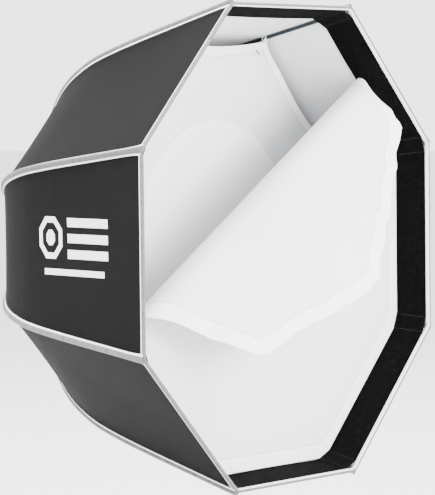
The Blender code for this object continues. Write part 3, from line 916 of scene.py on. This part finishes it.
def flat_diffuser():
    """The diffuser's flat cut, sliced into small faces, smallest at the roll: points, faces and border."""
    bm = bmesh.new()
    bmesh.ops.create_grid(bm, x_segments=1, y_segments=1, size=2 * DIFFUSER_APOTHEM)
    for i in range(RIB_COUNT):
        slice_mesh(bm, flat_normal(i * STEP), DIFFUSER_APOTHEM, trim=True)
        slice_mesh(bm, flat_normal(i * STEP + HALF), DIFFUSER_CORNER, trim=True)
    lines = cut_lines((1.0, 0.0), -0.31, 0.31, 0.008)
    lines += cut_lines((0.0, 1.0), -0.31, FOLD_EDGE - 0.012, 0.009)
    lines += cut_lines((0.0, 1.0), FOLD_EDGE - 0.014, FOLD_EDGE + 0.07, 0.004)
    lines += cut_lines((0.0, 1.0), FOLD_EDGE + 0.07, 0.31, 0.009)
    for i in range(RIB_COUNT):
        for hem in (DIFFUSER_HEM - 0.0007, DIFFUSER_HEM + 0.0007):
            lines.append((flat_normal(i * STEP), DIFFUSER_APOTHEM - hem))
    for normal, at in lines:
        slice_mesh(bm, normal, at)
    bmesh.ops.triangulate(bm, faces=[face for face in bm.faces if len(face.verts) > 4])
    bm.verts.ensure_lookup_table()
    points = np.array([vert.co[:2] for vert in bm.verts])
    faces = [[vert.index for vert in face.verts] for face in bm.faces]
    border = [[vert.index for vert in edge.verts] for edge in bm.edges if edge.is_boundary]
    bm.free()
    return points, faces, border


def smoothstep(value):
    value = np.clip(value, 0.0, 1.0)
    return value * value * (3 - 2 * value)


def fold_ends():
    """Where the fold line meets the diffuser's edge, as distances along the fold."""
    runs = np.linspace(-0.32, 0.32, 641)
    inside = runs[octagon_reach(*upright(runs, FOLD_EDGE)) > 0]
    return inside[0], inside[-1]


def diffuser_shape(flat):
    """Where the flat cut's points lie at rest, as (along the fold, across it, towards the front)."""
    run, reach = flat[:, 0], flat[:, 1]
    start, end = fold_ends()
    low = ROLL_ENDS[0] + (1 - ROLL_ENDS[0]) * smoothstep((run - start) / ROLL_FADE)
    high = ROLL_ENDS[1] + (1 - ROLL_ENDS[1]) * smoothstep((end - run) / ROLL_FADE)
    radius = ROLL_RADIUS * low * high * (1 + 0.08 * np.sin(run * 31 + 0.6))
    edge = FOLD_EDGE - ROLL_SHARE * radius
    beyond = np.maximum(reach - edge, 0.0)
    turn = np.minimum(beyond / radius, ROLL_TURN)
    rest = beyond - turn * radius
    across = np.where(reach > edge, edge + radius * np.sin(turn) + rest * np.cos(turn), reach)
    height = radius * (1 - np.cos(turn)) + rest * np.sin(turn)
    loose = smoothstep(rest / 0.06)
    for place, width, rise in FLAP_SWELLS:
        height = height + rise * loose * np.exp(-((run - place) / width)**2)
    for place, width, rise in FLAP_SAGS:
        across = across + rise * loose * np.exp(-((run - place) / width)**2)
    held = smoothstep((edge - reach) / 0.05)
    inside = octagon_reach(*upright(run, reach))
    bearing = np.arctan2(reach, run)
    ripple = np.sin(bearing * 37 + 1.3) + 0.6 * np.sin(bearing * 61 + 0.4)
    height = height + HEM_RIPPLE * ripple * loose * np.exp(-((inside - 0.010) / 0.028)**2)
    slack = smoothstep(inside / 0.05)
    height = height + HELD_SAG * held * slack * (1 + np.sin(run * 23 + 2) * np.sin(reach * 19))
    return np.stack([run, across, height], axis=1)


def facing_front(points, faces, held):
    """Normals of the sheet's points and its faces, turned so that point held faces the front."""
    sheet = make_piece("diffuser_surface", points, faces, [])
    facing = np.zeros(len(points) * 3, np.float32)
    sheet.data.vertices.foreach_get("normal", facing)
    facing = facing.reshape(-1, 3)
    bpy.data.objects.remove(sheet)
    if facing[held][1] > 0:
        return -facing, [face[::-1] for face in faces]
    return facing, faces


def build_diffuser(material):
    """One sheet: its lower part is held inside the lip, and its upper part is peeled off and rolled over."""
    flat, faces, border = flat_diffuser()
    shape = diffuser_shape(flat)
    hem = octagon_reach(*upright(flat[:, 0], flat[:, 1]))
    x, z = upright(shape[:, 0], shape[:, 1])
    points = np.stack([x, DIFFUSER_Y - shape[:, 2], z], axis=1)
    held = int(np.argmin(shape[:, 2] + np.abs(flat[:, 0]) + np.abs(flat[:, 1] + 0.1)))
    facing, faces = facing_front(points, faces, held)
    folded = smoothstep((DIFFUSER_HEM - hem) / 0.0014)
    half = (CLOTH / 2 + 0.0005 * folded)[:, None]
    count = len(points)
    sides = [(a, b, b + count, a + count) for a, b in border]
    walls = faces + [[i + count for i in face[::-1]] for face in faces] + sides
    cloth = np.stack([flat[:, 0], flat[:, 1], np.zeros(count)], axis=1)
    rim = np.stack([hem, np.ones(count), np.zeros(count)], axis=1)
    both = np.concatenate([points + facing * half, points - facing * half])
    piece = make_piece("diffuser_sheet", both, walls, [material],
                       vectors={"cloth": twice(cloth), "hem": twice(rim)})
    tidy_normals(piece, 60)
    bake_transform(piece)
    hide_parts("diffuser_panel", "diffuser_flap")


# ---- carried-over hardware

def dress_hardware():
    """Materials of the CAD nodes that no piece replaces, by the start of their names."""
    turned, spun, moulded = (1.0, 0.2, 1.0), (1.0, 0.15, 1.0), (0.5, 0.5, 0.5)
    bright = hard_material("pin_steel_look", (0.27, 0.27, 0.28), 0.34, 1.0, 0.0002, turned)
    plastic = hard_material("knob_look", (0.008, 0.008, 0.009), 0.52, 0.0, 0.0006, specular=0.2)
    looks = {
        "rod": hard_material("rod_steel_look", (0.045, 0.055, 0.065), 0.40, 1.0, 0.0002),
        "hinge_pin": bright,
        "lock_screw": bright,
        "retainer_ring": bright,
        "knuckle": hard_material("knuckle_look", (0.05, 0.05, 0.052), 0.45, 0.3, 0.0004),
        "tip_pocket": hard_material("tip_look", (0.022, 0.021, 0.020), 0.70, 0.0, 0.0008, moulded),
        "speed_ring": hard_material("ring_look", (0.008, 0.008, 0.009), 0.55, 0.0, 0.0005, specular=0.15),
        "adapter_ring": hard_material("adapter_look", (0.30, 0.30, 0.31), 0.36, 1.0, 0.0003, spun),
        "cover_ring": plastic,
        "lock_knob": plastic,
    }
    for name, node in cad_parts.items():
        look = next((value for key, value in looks.items() if name.startswith(key)), None)
        if look is None:
            continue
        if not node.data.materials:
            node.data.materials.append(look)
        for slot in node.material_slots:
            slot.material = look


# ---- stage, light and camera

def build_stage():
    mesh = bpy.data.meshes.new("floor")
    bm = bmesh.new()
    bmesh.ops.create_grid(bm, x_segments=1, y_segments=1, size=FLOOR_SIZE)
    bm.to_mesh(mesh)
    bm.free()
    floor = put_in_scene("floor", mesh)
    floor.location = (0.0, 0.0, FLOOR_HEIGHT)
    mesh.materials.append(Shader("floor", grey(FLOOR_TONE), 0.9, specular=0.1).material)

    world = bpy.data.worlds.new("studio")
    world.use_nodes = True
    background = world.node_tree.nodes["Background"]
    background.inputs["Color"].default_value = (1.0, 1.0, 1.0, 1.0)
    background.inputs["Strength"].default_value = SKY_STRENGTH
    bpy.context.scene.world = world


def direction(azimuth, elevation):
    """From the box towards a camera or light: azimuth 0 is the front, and elevation is up."""
    return Vector((sin(azimuth) * cos(elevation), -cos(azimuth) * cos(elevation), sin(elevation)))


def add_light(name, azimuth, elevation, distance, size, power):
    """A soft square light aimed at the box's centre."""
    light = bpy.data.lights.new(name, "AREA")
    light.shape = "SQUARE"
    light.size = size
    light.energy = power
    item = put_in_scene(name, light)
    back = direction(radians(azimuth), radians(elevation))
    item.location = CENTRE + back * distance
    item.rotation_euler = back.to_track_quat("Z", "Y").to_euler()


def build_camera():
    back = direction(AZIMUTH, ELEVATION)
    right = Vector((cos(AZIMUTH), sin(AZIMUTH), 0.0))
    up = back.cross(right)
    rolled_right = right * cos(CAMERA_ROLL) + up * sin(CAMERA_ROLL)
    rolled_up = up * cos(CAMERA_ROLL) - right * sin(CAMERA_ROLL)
    place = CENTRE + back * CAMERA_DISTANCE
    aim = CENTRE + rolled_right * CAMERA_AIM[0] + rolled_up * CAMERA_AIM[1]
    z_axis = (place - aim).normalized()
    x_axis = rolled_up.cross(z_axis).normalized()
    camera = bpy.data.cameras.new("camera")
    camera.lens = LENS
    camera.sensor_width = SENSOR_WIDTH
    camera.clip_end = 100.0
    item = put_in_scene("camera", camera)
    matrix = Matrix((x_axis, z_axis.cross(x_axis), z_axis)).transposed().to_4x4()
    matrix.translation = place
    item.matrix_world = matrix
    bpy.context.scene.camera = item


# ---- the object

def main():
    outside = shell_material("shell_cloth")
    printed = shell_material("shell_cloth_printed", printed=True)
    build_shell(outside, printed, liner_material())
    seam = tape_material("seam_tape", middle=0.085, edge=0.82)
    rim = tape_material("rim_tape", middle=0.11, edge=0.84, inner=0.0032, outer=0.05)
    dark = tape_material("hub_tape", middle=0.020, edge=0.030)
    loop = loop_material()
    for number in range(1, RIB_COUNT + 1):
        build_seam_tape(number, seam)
        build_edge_binding("rim_binding", number, 0, RIM_BINDING, rim)
        build_edge_binding("hub_binding", number, len(PROFILE) - 1, HUB_BINDING, dark)
        build_lip_band(number, loop)
    build_baffle(white_cloth("baffle_cloth_look", 0.74, 0.80, COLD_WHITE, hem_tone=0.92,
                             stitch_at=BAFFLE_STITCHES, patch=PATCH_RADIUS))
    elastic = tape_material("elastic", middle=0.70, edge=0.80)
    thread = hard_material("bar_tack", (0.06, 0.06, 0.07), 0.7, 0.0, 0.0005)
    for number in range(1, RIB_COUNT + 1):
        build_baffle_loop(number, elastic, thread)
    build_diffuser(white_cloth("diffuser_cloth_look", 0.77, 0.83, DIFFUSER_WHITE, hem_tone=0.93,
                               stitch_at=DIFFUSER_HEM))
    dress_hardware()


build_stage()
build_camera()
for settings in LIGHTS:
    add_light(*settings)
main()
